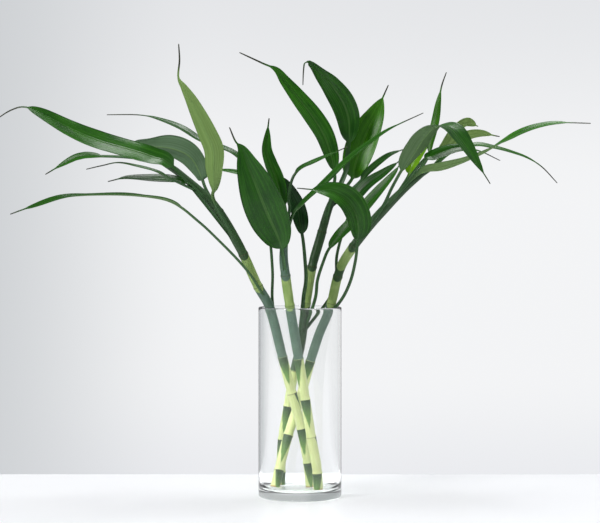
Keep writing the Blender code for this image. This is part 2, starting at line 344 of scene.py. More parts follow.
# %% The shared fibre effect
def fibre_group():
    """Noise at (lengthwise x Along, crosswise x Across): lengthwise is the place's first number."""
    group = bpy.data.node_groups.new("fibres", "ShaderNodeTree")
    sockets = group.interface
    sockets.new_socket("Place", in_out="INPUT", socket_type="NodeSocketVector")
    sockets.new_socket("Along", in_out="INPUT", socket_type="NodeSocketFloat")
    sockets.new_socket("Across", in_out="INPUT", socket_type="NodeSocketFloat")
    sockets.new_socket("Fibres", in_out="OUTPUT", socket_type="NodeSocketFloat")
    given = node(group, "NodeGroupInput")
    across = given.outputs["Across"]
    scales = node(group, "ShaderNodeCombineXYZ", {"X": given.outputs["Along"], "Y": across, "Z": across})
    stretched = node(
        group,
        "ShaderNodeVectorMath",
        {0: given.outputs["Place"], 1: scales.outputs[0]},
        operation="MULTIPLY",
    )
    noise = node(group, "ShaderNodeTexNoise", {"Vector": stretched.outputs[0], "Scale": 1.0, "Detail": 3.0})
    result = node(group, "NodeGroupOutput")
    group.links.new(noise.outputs["Fac"], result.inputs["Fibres"])
    return group


fibre_effect = fibre_group()


def fibres(tree, along, across):
    """The fibre value at the surface's own grain_place, with these two scales."""
    place = attribute(tree, "grain_place").outputs["Vector"]
    made = node(tree, "ShaderNodeGroup", node_tree=fibre_effect)
    tree.links.new(place, made.inputs["Place"])
    made.inputs["Along"].default_value = along
    made.inputs["Across"].default_value = across
    return made.outputs["Fibres"]


print("group", fibre_effect.name, "built")

# %% [markdown]
# A cane of lucky bamboo isn't bamboo but a dracaena stem: a straight round stalk with a raised ring
# every few centimetres where a leaf once clasped it. The ring leaves a dark green wedge on the pale
# cane below it, on alternate sides. It could be a stack of cylinders, but one circle carried along
# the smooth line keeps the skin unbroken, and the rings are then just bumps in the circle's radius.

# %% The canes' routes and rings
CANE_RADIUS = 5.0
CROWN_RADIUS = 3.2
CROWN_TAPER = 60.0  # the cane gets thinner over this last stretch, in mm
CANES = {
    "stem_left": (
        (11, 1, 9), (8, -4, 37), (1, -9, 74), (-9, -13, 112), (-19, -15, 151), (-31, -16, 198),
        (-45, -16, 224), (-64, -18, 265), (-90, -22, 307), (-124, -28, 339), (-136, -30, 348),
    ),
    "stem_front": (
        (19, -26, 9), (17, -27, 35), (11, -28, 69), (5, -29, 108), (-2, -31, 151),
        (-10, -33, 199), (-15, -33, 234), (-17, -33, 257), (-14, -33, 295),
    ),
    "stem_back": (
        (-21, 13, 9), (-19, 14, 56), (-13, 16, 92), (-7, 20, 126), (1, 25, 160),
        (6, 31, 198), (13, 37, 241), (22, 42, 273), (33, 46, 309), (47, 50, 329),
    ),
    "stem_right": (
        (-26, -19, 11), (-20, -11, 37), (-12, -4, 66), (-3, 3, 93), (4, 5, 116), (12, 7, 145),
        (21, 8, 172), (32, 10, 198), (40, 12, 231), (49, 13, 252), (75, 15, 287),
        (107, 17, 321), (132, 20, 343),
    ),
}
# Each ring's height in mm, and the side that its scar faces in degrees: 0 faces the front, 90 the right.
RINGS = {
    "stem_left": ((36, 10), (73, -20), (110, 110), (148, 0), (222, 60), (256, -60), (300, 60)),
    "stem_front": ((28, -20), (66, 130), (105, 0), (147, -50), (203, 60), (234, -40), (268, 60)),
    "stem_back": ((24, 60), (58, -20), (93, 0), (130, 150), (203, -60), (242, 40), (280, -60)),
    "stem_right": ((29, 40), (65, 0), (104, 150), (142, -10), (203, 60), (232, -30), (264, 60)),
}
# Above its fourth ring a cane is wrapped in leaf sheaths: (height where it begins, its colour). The rear
# cane's deep band from 130 mm is painted shade, and the right cane's lime band from 244 mm is a painted
# highlight.
GREY, LIME, DEEP = "grey", "lime", "deep"
SHEATHS_AND_PAINTED_LIGHT = {
    "stem_left": ((148, GREY), (222, LIME), (256, DEEP)),
    "stem_front": ((147, GREY), (203, LIME), (234, GREY), (268, DEEP)),
    "stem_back": ((130, DEEP), (203, LIME), (242, DEEP)),
    "stem_right": ((142, GREY), (203, LIME), (232, DEEP), (244, LIME), (264, DEEP)),
}


# %% The canes' surface
CANE_ROWS = 420
CANE_COLUMNS = 40
RING_HEIGHT = 1.1  # half the thickness of a raised ring, in mm
RING_SWELL = 0.08  # how much a ring adds to the radius, as a share of it
WAIST_DEPTH = 0.04  # how much the hollow just above a ring takes off the radius
WAIST_RISE = 4.0  # how far above the ring that hollow is deepest, in mm
WAIST_LENGTH = 3.0
TO_THE_REAR = np.array([0.0, 1.0, 0.0])
NO_RING = 40.0  # what is stored as the distance to the next ring above the last one, in mm


def cane_surface(places, rings):
    """Point = line + r (sin a * side + cos a * near), where r swells at each ring's height.

    Also gives, for every point, how far it is below the next ring up and how far round from its scar.
    """
    line, length = smooth_line(places, CANE_ROWS)
    tangent = unit(np.gradient(line, axis=0))
    side = unit(np.cross(TO_THE_REAR, tangent))
    near = np.cross(side, tangent)
    reach = np.linspace(0, length, CANE_ROWS)
    heights, scars = np.array(rings, float).T
    away = line[:, 2:] - heights
    ring = np.exp(-((away / RING_HEIGHT) ** 2)).sum(axis=1)
    waist = np.exp(-(((away - WAIST_RISE) / WAIST_LENGTH) ** 2)).sum(axis=1)
    taper = np.clip((reach - length + CROWN_TAPER) / CROWN_TAPER, 0, 1)
    plain = CANE_RADIUS + (CROWN_RADIUS - CANE_RADIUS) * taper
    radius = plain * (1 + RING_SWELL * ring - WAIST_DEPTH * waist)
    angle = np.linspace(0, 2 * np.pi, CANE_COLUMNS, endpoint=False)
    circle = np.sin(angle)[:, None] * side[:, None] + np.cos(angle)[:, None] * near[:, None]
    points = line[:, None] + radius[:, None, None] * circle
    above = np.searchsorted(heights, line[:, 2])
    next_ring = np.minimum(above, len(heights) - 1)
    below = np.where(above < len(heights), heights[next_ring] - line[:, 2], NO_RING)
    turn = angle - np.radians(scars)[next_ring][:, None]
    round_scar = np.abs((turn + np.pi) % (2 * np.pi) - np.pi)
    lengthwise = np.repeat(reach / 10, CANE_COLUMNS)
    lap = np.tile(angle, CANE_ROWS)
    values = {
        "below_ring": np.repeat(below, CANE_COLUMNS),
        "round_scar": round_scar.ravel(),
        "height": np.repeat(line[:, 2], CANE_COLUMNS),
        "from_foot": np.repeat(reach, CANE_COLUMNS),
        "grain_place": np.stack([lengthwise, np.cos(lap), np.sin(lap)], axis=1),
    }
    return points.reshape(-1, 3), values, line


def capped_tube(name, points, rows, columns, values):
    """The tube's grid with a pole point in the middle of each end; attributes are copied to the poles."""
    count = rows * columns
    first, last = points[:columns], points[-columns:]
    closed = np.vstack([points, first.mean(axis=0), last.mean(axis=0)])
    whole = {key: np.concatenate([held, held[:1], held[-1:]]) for key, held in values.items()}
    faces = [
        grid_faces(rows, columns, closed=True),
        fan_faces(count, np.arange(columns)[::-1]),
        fan_faces(count + 1, np.arange(count - columns, count)),
    ]
    return put_mesh(name, closed, faces, whole)


# %% [markdown]
# The cane's colours come from the numbers stored on it: pale yellow-green with fine fibres, a brown
# cut foot, a dark wedge below each ring that narrows to a point, and above the fourth ring the grey,
# lime and deep green of the sheaths that wrap it, with painted shade on the rear cane's lowest band
# and a painted highlight on the right cane's upper lime band. Each is mixed over the one before.

# %% The canes' skin
# The deep pair also serves as painted shade, and the lime pair as a painted highlight, where the rear and
# right canes' lists put them.
SHEATH_AND_PAINTED_LIGHT_COLOURS = {
    GREY: ((0.035, 0.085, 0.055, 1), (0.13, 0.21, 0.15, 1)),
    LIME: ((0.09, 0.20, 0.03, 1), (0.42, 0.55, 0.20, 1)),
    DEEP: ((0.012, 0.045, 0.012, 1), (0.045, 0.105, 0.035, 1)),
}
PALE_CANE = ((0.42, 0.50, 0.16, 1), (0.66, 0.72, 0.38, 1))
SCAR_TOP = (0.018, 0.065, 0.010, 1)
SCAR_POINT = (0.11, 0.24, 0.04, 1)
RING_BROWN = (0.06, 0.07, 0.02, 1)
CUT_BROWN = (0.40, 0.24, 0.06, 1)
SCAR_HALF_TURN = 1.5  # half the wedge's width at the ring, in radians
SHEATH_SLANT = 6.0  # how much lower a sheath's edge is at the front than at the sides, in mm
SHEATH_BLUR = 0.7  # half the stretch over which one sheath gives way to the next, in mm
SCAR_LENGTH = 29.0  # how far below the ring the wedge comes to a point, in mm


def cane_skin(name, sheaths_and_painted_light):
    made, tree = new_material(name)
    height = attribute(tree, "height").outputs["Fac"]
    below = attribute(tree, "below_ring").outputs["Fac"]
    turn = attribute(tree, "round_scar").outputs["Fac"]
    from_foot = attribute(tree, "from_foot").outputs["Fac"]
    grain = fibres(tree, 0.5, 4.0)
    cloud = fibres(tree, 0.8, 0.9)
    skin = mixed(tree, grain, *PALE_CANE)
    skin = mixed(tree, ramp(tree, from_foot, 3.0, 0.5), skin, CUT_BROWN)
    half_turn = calc(tree, "MULTIPLY_ADD", below, -SCAR_HALF_TURN / SCAR_LENGTH, SCAR_HALF_TURN)
    inside = calc(tree, "SUBTRACT", half_turn, turn)
    wavy = calc(tree, "MULTIPLY_ADD", grain, 0.5, calc(tree, "ADD", inside, -0.25))
    scar = mixed(tree, ramp(tree, below, 1.0, 22.0), SCAR_TOP, SCAR_POINT)
    skin = mixed(tree, ramp(tree, wavy, -0.1, 0.1), skin, scar)
    grain_place = attribute(tree, "grain_place").outputs["Vector"]
    to_the_front = node(tree, "ShaderNodeSeparateXYZ", {"Vector": grain_place}).outputs["Y"]
    slanted = calc(tree, "MULTIPLY_ADD", to_the_front, SHEATH_SLANT, height)
    # Each band is sheath colour, except the rear cane's band from 130 mm, which is painted shade, and the
    # right cane's band from 244 mm, which is a painted highlight.
    for order, (begins, colour) in enumerate(sheaths_and_painted_light):
        band_colour = mixed(tree, cloud, *SHEATH_AND_PAINTED_LIGHT_COLOURS[colour])
        edge = slanted if order else height
        in_band = ramp(tree, edge, begins - SHEATH_BLUR, begins + SHEATH_BLUR)
        skin = mixed(tree, in_band, skin, band_colour)
    line = calc(tree, "MULTIPLY", ramp(tree, below, 1.4, 0.4), 0.6)
    skin = mixed(tree, line, skin, RING_BROWN)
    bump = node(tree, "ShaderNodeBump", {"Height": grain, "Strength": 0.25, "Distance": 0.0008})
    shader = node(tree, "ShaderNodeBsdfPrincipled", {"Base Color": skin, "Normal": bump.outputs[0]})
    shader.inputs["Roughness"].default_value = 0.4
    shader.inputs["Specular IOR Level"].default_value = 0.35
    shader.inputs["Subsurface Weight"].default_value = 0.1
    shader.inputs["Subsurface Radius"].default_value = (0.5, 0.8, 0.2)
    shader.inputs["Subsurface Scale"].default_value = 0.004
    finish_material(tree, shader)
    return made


# %% The four canes
cane_lines = {}
for cane_name, places in CANES.items():
    points, values, cane_lines[cane_name] = cane_surface(places, RINGS[cane_name])
    cane = capped_tube(cane_name + "_skin", points, CANE_ROWS, CANE_COLUMNS, values)
    stand_in(cane, cane_name, cane_skin(cane_name, SHEATHS_AND_PAINTED_LIGHT[cane_name]))
    print(cane_name, len(cane.data.polygons), "faces,", len(RINGS[cane_name]), "rings")

# %% [markdown]
# A leaf could be a flat plane cut from a picture, but these leaves twist, fold and droop, and both
# sides show. So each is one closed skin: an upper and a lower sheet over the same midrib, joined round
# the edge. Across, the blade is folded like a shallow V whose edges curl down. Along, it has a narrow
# channelled stalk, a long blade and a fine tip. The way that the upper side looks is given from base to
# tip and blended between, and that twists the blade as a real leaf twists to the light.

# %% The leaves' surface
LEAF_ROWS = 150
HALF_COLUMNS = 10
STALK_WIDTH = 4.0
TIP_WIDTH = 0.9
SWELL_MOST = 0.375**0.6 * 0.625  # the most that b^0.6 (1 - b) reaches
EDGE_THICKNESS = 0.25
STALK_DEPTH = 1.8
CHANNEL = 0.45  # how high the stalk's edges stand above its middle, as a share of its half width
TURN_TO_BLADE = 0.12  # the share of a leaf's length over which the stalk opens into the blade
RIPPLE_STEP = 11.0  # distance along the edge in which its ripple turns through one radian, in mm
RIPPLE_SHIFT = 2.5  # how far the two edges' ripples are apart on either side, in radians
RIPPLE_FULL = 8.0  # the half width from which the ripple has its full height, in mm
RIB_HALF_WIDTH = 0.9
RIB_DEPTH = 0.7


def half_widths(share, shape):
    """Half the width. On the blade, b from 0 to 1, it is (b^0.6 (1 - b)), scaled to 1 at its most and
    raised to the leaf's own power: a high power makes a pointed leaf, a low one a strap. The stalk
    before the blade and the tail after it only get thinner.
    """
    blade = np.clip((share - shape["stalk"]) / (1 - shape["stalk"] - shape["tail"]), 0, 1)
    swell = shape["width"] / 2 * (blade**0.6 * (1 - blade) / SWELL_MOST) ** shape["power"]
    least = (TIP_WIDTH + (shape["stalk_width"] - TIP_WIDTH) * (1 - share) ** 0.5) / 2
    return np.maximum(least, swell)


def with_foot(places, cane_name, height):
    """The leaf's places with its foot put first: inside its cane, on the cane's line at this height."""
    line = cane_lines[cane_name]
    return [tuple(line[np.argmin(np.abs(line[:, 2] - height))]), *places]


def leaf_surface(places, shape, up, fold, wave):
    """Point = midrib + side * u h + upper * (fold, curl and wave), for u from -1 to 1 and half width h.

    The lower sheet is the upper one moved back by a thickness that is greatest at the midrib.
    """
    line, length = smooth_line(places, LEAF_ROWS)
    share = np.linspace(0, 1, LEAF_ROWS)
    tangent = unit(np.gradient(line, axis=0))
    side = unit(np.cross(tangent, blended(up, share)))
    upper = np.cross(side, tangent)
    half = half_widths(share, shape)[:, None]
    u = np.linspace(-1, 1, 2 * HALF_COLUMNS + 1)[None, :]
    blade = np.clip((share - shape["stalk"]) / TURN_TO_BLADE, 0, 1)[:, None]
    reach = share[:, None] * length
    folded = fold * np.abs(u) * (1.25 - 0.5 * np.abs(u))
    channel = CHANNEL * np.abs(u) ** 1.5
    ripple = wave * np.sin(reach / RIPPLE_STEP + RIPPLE_SHIFT * np.sign(u)) * np.abs(u) ** 3
    ripple = ripple * blade * np.minimum(half, RIPPLE_FULL) / RIPPLE_FULL
    lift = half * (folded * blade + channel * (1 - blade)) + ripple
    top = line[:, None] + side[:, None] * (u * half)[..., None] + upper[:, None] * lift[..., None]
    rib = np.exp(-((u * half / RIB_HALF_WIDTH) ** 2)) * RIB_DEPTH * (1 - 0.8 * share[:, None])
    flesh = EDGE_THICKNESS + 0.25 * (1 - u**2) + rib
    stem = STALK_DEPTH * np.sqrt(1 - 0.98 * u**2)
    thick = np.minimum(flesh * blade + np.maximum(flesh, stem) * (1 - blade), 0.3 + half)
    bottom = top - upper[:, None] * thick[..., None]
    return top, bottom, share, u[0], length


def leaf_mesh(name, places, shape, up, fold, wave):
    """Both sheets, the strips that close them along their edges, and the two ends."""
    top, bottom, share, u, length = leaf_surface(places, shape, up, fold, wave)
    rows, columns = len(share), len(u)
    count = rows * columns
    row = np.arange(rows - 1)[:, None] * columns
    left, right = row, row + columns - 1
    along_left = np.hstack([left + columns, left, left + count, left + columns + count])
    along_right = np.hstack([right, right + columns, right + columns + count, right + count])
    foot = np.arange(columns - 1)[:, None]
    tip = foot + count - columns
    at_foot = np.hstack([foot + 1, foot, foot + count, foot + count + 1])
    at_tip = np.hstack([tip, tip + 1, tip + count + 1, tip + count])
    faces = [
        grid_faces(rows, columns),
        grid_faces(rows, columns, first=count)[:, ::-1],
        along_left, along_right, at_foot, at_tip,
    ]
    lengthwise = np.tile(np.repeat(share, columns), 2)
    crosswise = np.tile(u, 2 * rows)
    sheet = np.repeat([1.0, 0.0], count)
    grain = np.stack([lengthwise * length / 10, crosswise * shape["width"] / 2, sheet * 7], axis=1)
    values = {
        "upper_side": sheet,
        "lengthwise": lengthwise,
        "crosswise": crosswise,
        "stalk_share": np.clip((shape["stalk"] + 0.05 - lengthwise) / TURN_TO_BLADE, 0, 1),
        "tail_share": np.clip((lengthwise - 1 + shape["tail"]) / 0.04, 0, 1),
        "grain_place": grain,
    }
    points = np.vstack([top.reshape(-1, 3), bottom.reshape(-1, 3)])
    return put_mesh(name, points, faces, values)


# %% [markdown]
# A leaf is glossy and deep green above, duller and greyer below, with a pale midrib, fine veins that
# run its whole length and a tip that dries to brown. Young leaves are yellower. So the skin is one
# function with a glow for how young the leaf is and a tone that is painted light and shade: leaves
# that lie in the others' shade get a near-black tone, which is painted shade, and well-lit ones a pale
# tone, partly their own lighter green and partly painted light. The veins are the fibre effect, laid
# along each leaf's own length and width.


# %% The leaves' skin
def greens(light_and_shade_tone, glow):
    """Dark and light upper colours, then dark and light lower colours, as linear red, green and blue."""
    # The tone is painted light and shade: a low one paints a shaded leaf nearly black, a high one paints a
    # lit leaf pale.
    upper_dark = (0.003 + 0.010 * light_and_shade_tone + 0.09 * glow, 0.024 + 0.080 * light_and_shade_tone + 0.15 * glow, 0.002, 1)
    upper_light = (0.010 + 0.050 * light_and_shade_tone + 0.14 * glow, 0.065 + 0.200 * light_and_shade_tone + 0.18 * glow, 0.005, 1)
    lower_dark = (0.04 + 0.07 * light_and_shade_tone + 0.1 * glow, 0.09 + 0.12 * light_and_shade_tone + 0.1 * glow, 0.04, 1)
    lower_light = (0.09 + 0.14 * light_and_shade_tone + 0.1 * glow, 0.17 + 0.19 * light_and_shade_tone + 0.1 * glow, 0.10, 1)
    return upper_dark, upper_light, lower_dark, lower_light


MIDRIB_GREEN = (0.15, 0.27, 0.08, 1)
STALK_GREEN = (0.045, 0.11, 0.04, 1)
DRY_TIP = (0.03, 0.035, 0.02, 1)


def leaf_skin(name, light_and_shade_tone, glow):
    made, tree = new_material(name)
    upper_dark, upper_light, lower_dark, lower_light = greens(light_and_shade_tone, glow)
    sheet = attribute(tree, "upper_side").outputs["Fac"]
    away = calc(tree, "ABSOLUTE", attribute(tree, "crosswise").outputs["Fac"])
    lengthwise = attribute(tree, "lengthwise").outputs["Fac"]
    stalk = attribute(tree, "stalk_share").outputs["Fac"]
    veins = fibres(tree, 0.12, 1.1)
    cloud = fibres(tree, 0.35, 0.12)
    above = mixed(tree, ramp(tree, veins, 0.1, 1.0), upper_dark, upper_light)
    above = mixed(tree, ramp(tree, cloud, 0.40, 0.75), above, upper_dark)
    rib = ramp(tree, away, 0.10, 0.02)
    fading = ramp(tree, lengthwise, 0.95, 0.4)
    rib_share = calc(tree, "MULTIPLY", calc(tree, "MULTIPLY", rib, fading), 0.2)
    above = mixed(tree, rib_share, above, MIDRIB_GREEN)
    below = mixed(tree, ramp(tree, veins, 0.1, 0.9), lower_dark, lower_light)
    below = mixed(tree, calc(tree, "MULTIPLY", rib, 0.5), below, MIDRIB_GREEN)
    colour = mixed(tree, sheet, below, above)
    colour = mixed(tree, stalk, colour, STALK_GREEN)
    colour = mixed(tree, attribute(tree, "tail_share").outputs["Fac"], colour, DRY_TIP)
    rough = calc(tree, "MULTIPLY_ADD", sheet, -0.28, 0.5)
    rough = calc(tree, "MULTIPLY_ADD", veins, 0.1, rough)
    relief = calc(tree, "MULTIPLY_ADD", rib, 1.5, veins)
    bump = node(tree, "ShaderNodeBump", {"Height": relief, "Strength": 0.25, "Distance": 0.0006})
    shader = node(
        tree,
        "ShaderNodeBsdfPrincipled",
        {"Base Color": colour, "Roughness": rough, "Normal": bump.outputs[0]},
    )
    shader.inputs["Specular IOR Level"].default_value = 0.22
    finish_material(tree, shader)
    return made


def grow(
    name, cane, foot, width, stalk, tail, power, up, places,
    light_and_shade_tone=0.4, glow=0.0, fold=0.22, wave=0.5, stalk_width=STALK_WIDTH,
):
    """One finished leaf: its foot on its cane, its surface, its skin, and its place in the frame."""
    whole = np.array(with_foot(places, cane, foot))
    lead = np.linalg.norm(whole[1] - whole[0]) / reach_along(whole)[-1]
    shape = {
        "width": width, "stalk": lead + stalk * (1 - lead), "tail": tail, "power": power,
        "stalk_width": stalk_width,
    }
    leaf = leaf_mesh(name + "_blade", whole, shape, up, fold, wave)
    stand_in(leaf, name, leaf_skin(name, light_and_shade_tone, glow))
    low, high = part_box(name)
    print(name, "CAD box centre", [round((a + b) * 500) for a, b in zip(low, high)])


# %% [markdown]
# The left cane leans out furthest. Its top leaf is long, nearly flat and ends in a black curl; a
# crumpled one hides behind it, one stands upright with its pale underside turned to the front, and two
# very long ones arch over to the left.

# %% The left cane's leaves
grow(
    "left_broad_leaf", "stem_left", foot=262, width=25, stalk=0.04, tail=0.11, power=0.45,
    up=[(-0.1, -0.8, 0.6)],
    places=[(-127, -38, 342), (-155, -46, 358), (-204, -66, 372), (-233, -80, 384), (-264, -94, 400),
            (-277, -99, 404), (-289, -103, 400), (-301, -106, 392)],
    light_and_shade_tone=0.45, fold=0.12,
)
grow(
    "left_folded_leaf", "stem_left", foot=282, width=26, stalk=0.12, tail=0.05, power=0.6,
    up=[(0.5, 0.8, 0.1), (0.3, 0.9, 0.3), (0.1, 0.8, 0.5)],
    places=[(-98, -12, 322), (-106, -6, 343), (-118, -2, 360), (-137, 2, 368), (-160, 6, 371),
            (-184, 10, 378)],
    light_and_shade_tone=0.1, fold=0.6, wave=3.0,
)
grow(
    "left_arching_leaf", "stem_left", foot=206, width=13, stalk=0.38, tail=0.05, power=0.5,
    up=[(0.7, -0.1, 0.7), (0.2, -0.1, 1), (0, -0.15, 1), (0, -0.2, 1), (0, -0.9, 0.45)],
    places=[(-48, -26, 230), (-62, -32, 248), (-84, -38, 271), (-104, -44, 290), (-131, -50, 310),
            (-164, -58, 316), (-204, -67, 317), (-241, -76, 314), (-273, -82, 304), (-292, -85, 297)],
    light_and_shade_tone=0.4, fold=0.3,
)
grow(
    "left_rear_leaf", "stem_left", foot=165, width=15, stalk=0.45, tail=0.12, power=0.6,
    up=[(1, -0.2, 0.1), (0.6, -0.3, 0.7), (0, -0.5, 0.85)],
    places=[(-29, 0, 206), (-29, 0, 240), (-34, -1, 290), (-46, 0, 330), (-64, 2, 357), (-83, 4, 369),
            (-106, 7, 377), (-128, 10, 391), (-150, 15, 400), (-172, 20, 405), (-208, 28, 406)],
    light_and_shade_tone=0.2,
)
grow(
    "left_upright_leaf", "stem_left", foot=268, width=21, stalk=0.06, tail=0.14, power=0.95,
    up=[(0.2, 1, 0), (0.3, 0.95, 0.1)],
    places=[(-89, -36, 311), (-89, -42, 325), (-89, -50, 343), (-89, -54, 363), (-96, -56, 381),
            (-110, -57, 411), (-119, -56, 427), (-125, -53, 438), (-124, -50, 456), (-125, -48, 473)],
    light_and_shade_tone=0.75, glow=0.1, fold=0.3,
)
grow(
    "left_tip_leaf", "stem_left", foot=325, width=10, stalk=0.5, tail=0.06, power=0.8,
    up=[(0, -0.3, 1), (0, -0.9, 0.5)],
    places=[(-148, -18, 353), (-162, -12, 356), (-190, -4, 359), (-218, 2, 360), (-232, 5, 360),
            (-245, 8, 356), (-272, 13, 341)],
    light_and_shade_tone=0.4,
)
grow(
    "left_thin_leaf", "stem_left", foot=320, width=7, stalk=0.1, tail=0.2, power=0.6,
    up=[(0, -0.4, 1)],
    places=[(-130, -50, 333), (-146, -58, 341), (-168, -62, 347), (-186, -64, 350), (-201, -67, 347),
            (-217, -72, 343)],
    light_and_shade_tone=0.25,
)
grow(
    "left_dark_leaf", "stem_left", foot=300, width=13, stalk=0.08, tail=0.08, power=0.7,
    up=[(0, -0.65, 0.8)],
    places=[(-112, -34, 327), (-121, -36, 331), (-134, -38, 334), (-155, -42, 335), (-179, -50, 335),
            (-197, -56, 331)],
    light_and_shade_tone=0.25,
)

# %% [markdown]
# The front cane is short. It carries the broadest leaf of all, which stands up with its glossy face
# to the front, a narrow one behind it that is half in shade, two that reach to the right, and a small
# one that lies out to the left behind the broad one.

# %% The front cane's leaves
grow(
    "front_broad_leaf", "stem_front", foot=225, width=42, stalk=0.03, tail=0.1, power=0.9,
    up=[(-0.25, -0.95, 0.2)],
    places=[(-18, -43, 258), (-23, -48, 275), (-32, -54, 295), (-39, -60, 312), (-46, -63, 330),
            (-53, -65, 347), (-59, -66, 363), (-66, -66, 372), (-72, -64, 386)],
    light_and_shade_tone=0.3, fold=0.22,
)
grow(
    "front_upright_leaf", "stem_front", foot=262, width=15, stalk=0.08, tail=0.06, power=0.7,
    up=[(0.35, -0.9, 0.1)],
    places=[(-15, -43, 299), (-20, -44, 318), (-25, -44, 335), (-31, -44, 350), (-35, -43, 364),
            (-34, -42, 380), (-32, -41, 397)],
    light_and_shade_tone=0.5, fold=0.6,
)
grow(
    "front_diagonal_leaf", "stem_front", foot=262, width=12, stalk=0.04, tail=0.12, power=0.7,
    up=[(-0.5, -0.5, 0.7)],
    places=[(-8, -42, 296), (2, -39, 308), (31, -34, 336), (52, -36, 356), (72, -39, 372),
            (93, -43, 386), (127, -48, 402)],
    light_and_shade_tone=0.35,
)
grow(
    "front_thin_leaf", "stem_front", foot=262, width=8, stalk=0.4, tail=0.1, power=0.6,
    up=[(-0.8, -0.3, 0.2), (0, -0.5, 0.85)],
    places=[(-11, -25, 302), (-12, -25, 312), (-10, -24, 328), (-6, -23, 339), (2, -22, 347),
            (21, -19, 356), (50, -16, 369)],
    light_and_shade_tone=0.35,
)
grow(
    "front_side_leaf", "stem_front", foot=262, width=9, stalk=0.2, tail=0.05, power=0.6,
    up=[(0, -0.7, 0.7)],
    places=[(-22, -24, 304), (-36, -19, 326), (-52, -14, 338), (-70, -11, 343), (-93, -8, 346)],
    light_and_shade_tone=0.5,
)

# %% [markdown]
# The rear cane holds the tallest leaves, which bow forwards to the left and hook over at their tips,
# one short bright leaf, and several dark ones that are mostly in the others' shade. Their dark tones
# are painted shade.

# %% The rear cane's leaves
grow(
    "back_shadow_leaf", "stem_back", foot=150, width=22, stalk=0.5, tail=0.04, power=0.7,
    up=[(0.6, -0.75, 0.2)],
    places=[(3, 19, 206), (6, 17, 228), (5, 14, 250), (3, 11, 271), (0, 8, 288), (-3, 6, 305),
            (-10, 5, 321), (-17, 5, 334), (-25, 6, 344)],
    light_and_shade_tone=-0.1, stalk_width=5.5,
)
grow(
    "back_tall_leaf", "stem_back", foot=275, width=22, stalk=0.1, tail=0.14, power=0.75,
    up=[(0.25, -0.95, 0.2)],
    places=[(36, 37, 328), (37, 37, 345), (32, 36, 368), (25, 34, 386), (12, 31, 406), (-3, 28, 425),
            (-16, 26, 441), (-26, 24, 454), (-41, 22, 461), (-65, 20, 472)],
    light_and_shade_tone=0.55, fold=0.35,
)
grow(
    "back_hooked_leaf", "stem_back", foot=300, width=27, stalk=0.2, tail=0.12, power=0.75,
    up=[(-0.1, -0.95, 0.2), (-0.1, -0.95, 0.2), (-0.2, -0.8, 0.5), (-0.7, -0.6, 0.3), (-0.9, -0.4, 0)],
    places=[(50, 54, 345), (52, 54, 364), (54, 54, 386), (53, 53, 404), (47, 51, 421), (35, 48, 439),
            (24, 44, 451), (14, 40, 461), (6, 36, 463), (4, 33, 455), (3, 30, 438)],
    light_and_shade_tone=0.3, fold=0.3, stalk_width=6.0,
)
grow(
    "back_bright_leaf", "stem_back", foot=310, width=34, stalk=0.03, tail=0.1, power=0.75,
    up=[(-0.2, -0.95, 0.1)],
    places=[(56, 62, 336), (60, 63, 350), (66, 65, 370), (74, 66, 390), (83, 66, 408), (90, 64, 425),
            (97, 61, 441)],
    light_and_shade_tone=0.9, glow=0.08, fold=0.35,
)
grow(
    "back_strap_leaf", "stem_back", foot=165, width=15, stalk=0.33, tail=0.04, power=0.5,
    up=[(-0.4, -0.8, 0.5)],
    places=[(16, 21, 206), (19, 21, 228), (25, 22, 247), (31, 22, 261), (43, 23, 276), (56, 24, 290),
            (70, 26, 307), (86, 28, 325), (102, 29, 344), (110, 30, 357)],
    light_and_shade_tone=0.4,
)
grow(
    "back_dark_leaf", "stem_back", foot=170, width=17, stalk=0.5, tail=0.04, power=0.6,
    up=[(-0.8, -0.5, 0.2), (-0.3, -0.7, 0.6)],
    places=[(36, 28, 216), (40, 32, 255), (49, 34, 287), (60, 37, 315), (72, 38, 330), (90, 38, 343),
            (112, 38, 360)],
    light_and_shade_tone=0.1,
)
grow(
    "back_thin_leaf", "stem_back", foot=305, width=10, stalk=0.1, tail=0.1, power=0.6,
    up=[(0, -0.6, 0.8)],
    places=[(62, 50, 331), (76, 53, 347), (94, 56, 362), (107, 57, 368), (121, 58, 372)],
    light_and_shade_tone=0.1,
)

# %% [markdown]
# The right cane has the fullest crown. One leaf rises in front of the others and droops forwards over
# the middle, one twists out far to the right, and the big one at the top folds over so that its grey
# underside shows beside its dark face.

# %% The right cane's leaves
grow(
    "right_drooping_leaf", "stem_right", foot=188, width=33, stalk=0.4, tail=0.08, power=0.7,
    up=[(0.8, -0.5, 0.2), (0.6, -0.75, 0.2), (0.4, -0.85, 0.3), (-0.1, -0.7, 0.7)],
    places=[(44, 1, 208), (53, -5, 227), (58, -12, 248), (60, -18, 266), (61, -24, 284), (57, -31, 300),
            (47, -40, 313), (33, -48, 320), (18, -55, 322), (-3, -62, 324)],
    light_and_shade_tone=0.45, fold=0.3,
)
grow(
    "right_long_leaf", "stem_right", foot=300, width=16, stalk=0.02, tail=0.1, power=0.5,
    up=[(0, 0.8, 0.6), (0, 0.6, 0.8), (0, -0.4, 0.9), (0, -0.7, 0.7)],
    places=[(124, 5, 340), (149, 2, 348), (175, -1, 355), (192, -4, 362), (211, -8, 373),
            (232, -12, 384), (253, -15, 391), (273, -18, 394), (304, -23, 393)],
    light_and_shade_tone=0.6,
)
grow(
    "right_falling_leaf", "stem_right", foot=322, width=9, stalk=0.1, tail=0.15, power=0.6,
    up=[(0, -0.5, 0.85)],
    places=[(144, 32, 350), (164, 34, 366), (189, 36, 374), (210, 37, 371), (230, 38, 366),
            (247, 40, 360), (263, 42, 350), (280, 46, 333)],
    light_and_shade_tone=0.45,
)
